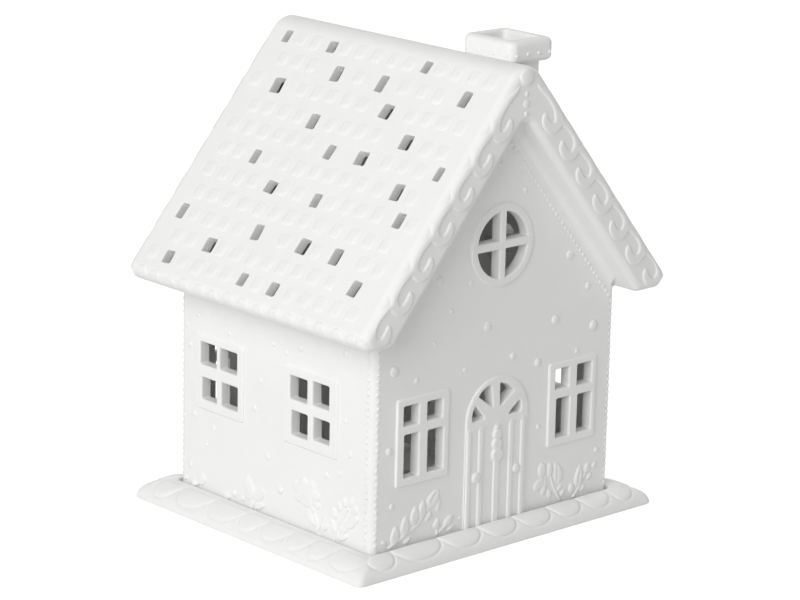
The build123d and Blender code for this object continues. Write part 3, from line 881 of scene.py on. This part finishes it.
def rim_side(bm, turn, own, other, edges):
    """One side of the rim, mitred to its neighbours. Own and other are inner and outer half sizes."""
    cell = 0.5
    mitre_fade, lip_fade, foot_margin = 1.5, 1.2, 0.4
    first_of_top, last_of_top = 3, -4
    distance, height = rim_section(own[1] - own[0])
    other_distance, _ = rim_section(other[1] - other[0])
    rows = len(distance) - 1
    columns = round(2 * other[1] / cell)
    verts = bmesh.ops.create_grid(bm, x_segments=columns, y_segments=rows, size=0.5)["verts"]
    flat = np.array([vert.co for vert in verts])
    row = np.round((flat[:, 1] + 0.5) * rows).astype(int)
    half_length = other[0] + other_distance[row]
    along = 2 * flat[:, 0] * half_length
    out = own[0] + distance[row]
    slope_out = np.gradient(distance)
    slope_up = np.gradient(height)
    steepness = np.hypot(slope_out, slope_up)
    down = np.concatenate([[0], np.cumsum(np.hypot(np.diff(distance), np.diff(height)))])
    down = down - down[first_of_top]
    whole = down[last_of_top]
    start = max(0, whole - lobe_start)
    relief = lobes_relief(along, down[row] - start, edges, whole - start - lobe_foot)
    relief = relief * np.clip((half_length - np.abs(along)) / mitre_fade, 0, 1)
    relief = relief * np.clip(down[row] / lip_fade, 0, 1) * (down[row] < whole - foot_margin)
    out = out - relief * (slope_up / steepness)[row]
    up = height[row] + relief * (slope_out / steepness)[row]
    near = np.clip(1 - (half_length - np.abs(along)) / rim_corner, 0, 1)
    corner = np.radians(45) * near
    rounded = np.sign(along) * (half_length - rim_corner + rim_corner * np.sin(corner))
    along = np.where(near > 0, rounded, along)
    out = np.where(near > 0, out - rim_corner + rim_corner * np.cos(corner), out)
    angle = math.radians(turn)
    for vert, a, o, z in zip(verts, along, out, up):
        x = a * math.cos(angle) + o * math.sin(angle)
        y = a * math.sin(angle) - o * math.cos(angle)
        vert.co = Vector((x, y, z)) * mm


def add_rim(bm, ground):
    """The whole rim. It has its own section, so the ground isn't used."""
    weld = 0.005 * mm
    x_sizes = (rim_inner_x, rim_outer_x)
    y_sizes = (rim_inner_y, rim_outer_y)
    for turn in (0, 180):
        rim_side(bm, turn, y_sizes, x_sizes, front_lobes)
    for turn in (90, 270):
        rim_side(bm, turn, x_sizes, y_sizes, side_lobes)
    bmesh.ops.remove_doubles(bm, verts=bm.verts, dist=weld)


def ornament(name, node, adders, material=None, body="house"):
    """One piece of relief on a CAD node's surface, by functions that each add a part of it."""
    ground = ground_of(node)
    bm = bmesh.new()
    for add, *more in adders:
        add(bm, ground, *more)
    finish_relief(bm, name, material or bisque, body)


# Tealight

# Height of the plate's floor, which the tealight stands on
foot_z = 3.4


def spun(name, profile, steps, material, node):
    """Round piece on the tealight's axis, from points of (radius, height above the plate's floor)."""
    weld = 0.0005 * mm
    bm = bmesh.new()
    verts = [bm.verts.new(Vector((r, 0, foot_z + z)) * mm) for r, z in profile]
    edges = [bm.edges.new(pair) for pair in zip(verts, verts[1:])]
    bmesh.ops.spin(
        bm, geom=verts + edges, cent=(0, 0, 0), axis=(0, 0, 1), angle=2 * math.pi, steps=steps,
        use_merge=True, use_duplicate=False,
    )
    bmesh.ops.remove_doubles(bm, verts=bm.verts, dist=weld)
    piece = finish_relief(bm, name, material, "tealight")
    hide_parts(node)


def tealight_cup():
    """Drawn cup with a stepped foot, faint draw rings and a lip that is rolled outwards."""
    outside = [(0, 0.5), (6, 0.5), (6.6, 0.15), (7.4, 0.15), (8, 0.5), (14.5, 0.5), (15.2, 0), (17.9, 0)]
    outside += [(18.6, 0.25), (18.95, 0.8)]
    outside += [(18.97 - 0.06 * (n % 2), 1.6 + 1.5 * n) for n in range(9)]
    turns = [math.radians(a) for a in range(-90, 181, 30)]
    lip = [(19.05 + 0.5 * math.cos(t), 14.97 + 0.5 * math.sin(t)) for t in turns]
    inside = [(18.55, 14.4), (18.55, 1.0), (18.0, 0.55), (0, 0.55)]
    spun("tealight_cup_drawn", outside + lip + inside, 96, cup_metal, "tealight_cup")


def tealight_wax():
    """Wax with a raised edge against the cup and a shallow dip round the wick."""
    top = 12.6
    profile = [(0, 0.6), (18.0, 0.6), (18.5, 1.1), (18.5, top + 0.35), (18.3, top + 0.3), (17.6, top + 0.08)]
    profile += [(16.5, top), (10, top - 0.05), (6, top - 0.15), (3.4, top - 0.35), (1.6, top - 0.5)]
    profile += [(0.9, top - 0.35), (0, top - 0.35)]
    spun("tealight_wax_cast", profile, 72, candle_wax, "tealight_wax")


def wick_clip():
    """Pressed disc with a neck for the wick."""
    profile = [(0, 0.4), (5.7, 0.4), (6.0, 0.5), (5.9, 0.7), (4.0, 0.72), (3.4, 0.85), (1.7, 0.9)]
    profile += [(1.45, 1.2), (1.4, 3.7), (1.2, 3.95), (0.85, 3.95), (0.85, 1.2), (0, 1.2)]
    spun("wick_clip_pressed", profile, 48, clip_tin, "wick_clip")


def tealight_wick():
    """Plaited wick: a lobed section that turns as it rises, with a slightly bent tip."""
    bm = bmesh.new()
    low, high, steps, lobes = 0.8, 22.0, 60, 3
    radius, lobe_share = 0.7 * mm, 0.16
    turn = math.radians(16)
    bend_start, bend_gain = 45, 0.004
    ring = bmesh.ops.create_circle(bm, segments=24, radius=radius, cap_ends=True)["verts"]
    for vert in ring:
        angle = math.atan2(vert.co.y, vert.co.x)
        vert.co *= (1 - lobe_share) + lobe_share * math.cos(lobes * angle)
    bmesh.ops.translate(bm, verts=ring, vec=(0, 0, (foot_z + low) * mm))
    face = next(iter(bm.faces))
    lift = (high - low) / steps
    for step in range(steps):
        made = bmesh.ops.extrude_face_region(bm, geom=[face])["geom"]
        bmesh.ops.delete(bm, geom=[face], context="FACES_ONLY")
        verts = [item for item in made if isinstance(item, bmesh.types.BMVert)]
        face = next(item for item in made if isinstance(item, bmesh.types.BMFace))
        bend = bend_gain * max(0, step - bend_start)
        bmesh.ops.translate(bm, verts=verts, vec=(bend * mm, 0, lift * mm))
        middle = face.calc_center_median()
        bmesh.ops.rotate(bm, verts=verts, cent=middle, matrix=Matrix.Rotation(turn, 3, "Z"))
    piece = finish_relief(bm, "tealight_wick_plaited", wick_cotton, "tealight")
    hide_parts("tealight_wick")


def plain_material(name, color, second, roughness, metallic, scale, height):
    """Material whose colour and sheen wander between two tones, with a fine bump."""
    material, shader, nodes, links = start_material(name)
    place = nodes.new("ShaderNodeTexCoord").outputs["Object"]
    pattern = noise(nodes, links, place, scale, 3)
    tone = nodes.new("ShaderNodeMix")
    tone.data_type = "RGBA"
    links.new(spread(nodes, links, pattern, 0, 1), tone.inputs["Factor"])
    tone.inputs["A"].default_value = color
    tone.inputs["B"].default_value = second
    links.new(tone.outputs["Result"], shader.inputs["Base Color"])
    swing = 0.08
    sheen = spread(nodes, links, pattern, roughness - swing, roughness + swing)
    links.new(sheen, shader.inputs["Roughness"])
    shader.inputs["Metallic"].default_value = metallic
    add_bump(nodes, links, shader, pattern, height)
    return material, shader


# The scene

make_camera()
make_studio()
grain_group = cast_grain_group()
bisque = bisque_material("bisque_porcelain", grain_group)
plate_bisque = bisque_material("plate_porcelain", grain_group)
smooth_skin("wall_shell", "walls", bisque, "house")
smooth_skin("roof_shell", "roof", bisque, "house")
smooth_skin("chimney", "chimney_stack", bisque, "house")
smooth_skin("base_plate", "plate", plate_bisque, "plate")
cup_metal, _ = plain_material(
    "cup_metal", (0.82, 0.82, 0.83, 1), (0.72, 0.72, 0.74, 1), 0.32, 1.0, 900, 0.02 * mm)
candle_wax, wax_shader = plain_material(
    "candle_wax", (0.90, 0.89, 0.85, 1), (0.86, 0.85, 0.80, 1), 0.42, 0.0, 160, 0.06 * mm)
# Light sinks a little into the wax.
wax_shader.inputs["Subsurface Weight"].default_value = 0.3
wax_shader.inputs["Subsurface Scale"].default_value = 2 * mm
wick_cotton, _ = plain_material(
    "wick_cotton", (0.85, 0.83, 0.76, 1), (0.70, 0.67, 0.60, 1), 0.9, 0.0, 2500, 0.08 * mm)
clip_tin, _ = plain_material(
    "clip_tin", (0.66, 0.66, 0.65, 1), (0.52, 0.52, 0.52, 1), 0.4, 1.0, 1200, 0.02 * mm)
tealight_cup()
tealight_wax()
wick_clip()
tealight_wick()
ornament("snow_dots", "wall_shell", [(add_dots,)])
ornament("bead_rows", "wall_shell", [(add_bead_rows,)])
ornament("wall_leaves", "wall_shell", [(add_leaves,)])
ornament("door_garland", "wall_shell", [(add_door_garland,)])
ornament("roof_tiles_left", "roof_shell", [(add_tiles, left_slope), (add_eave_tongues, left_slope)])
ornament("roof_tiles_right", "roof_shell", [(add_tiles, right_slope, True), (add_eave_tongues, right_slope)])
ornament("gable_waves", "roof_shell", [(add_waves,)])
ornament("apex_boss", "roof_shell", [(add_apex,)])
ornament("cap_beads", "chimney", [(add_cap_beads,)])
ornament("rim_lobes", "base_plate", [(add_rim,)], plate_bisque, "plate")
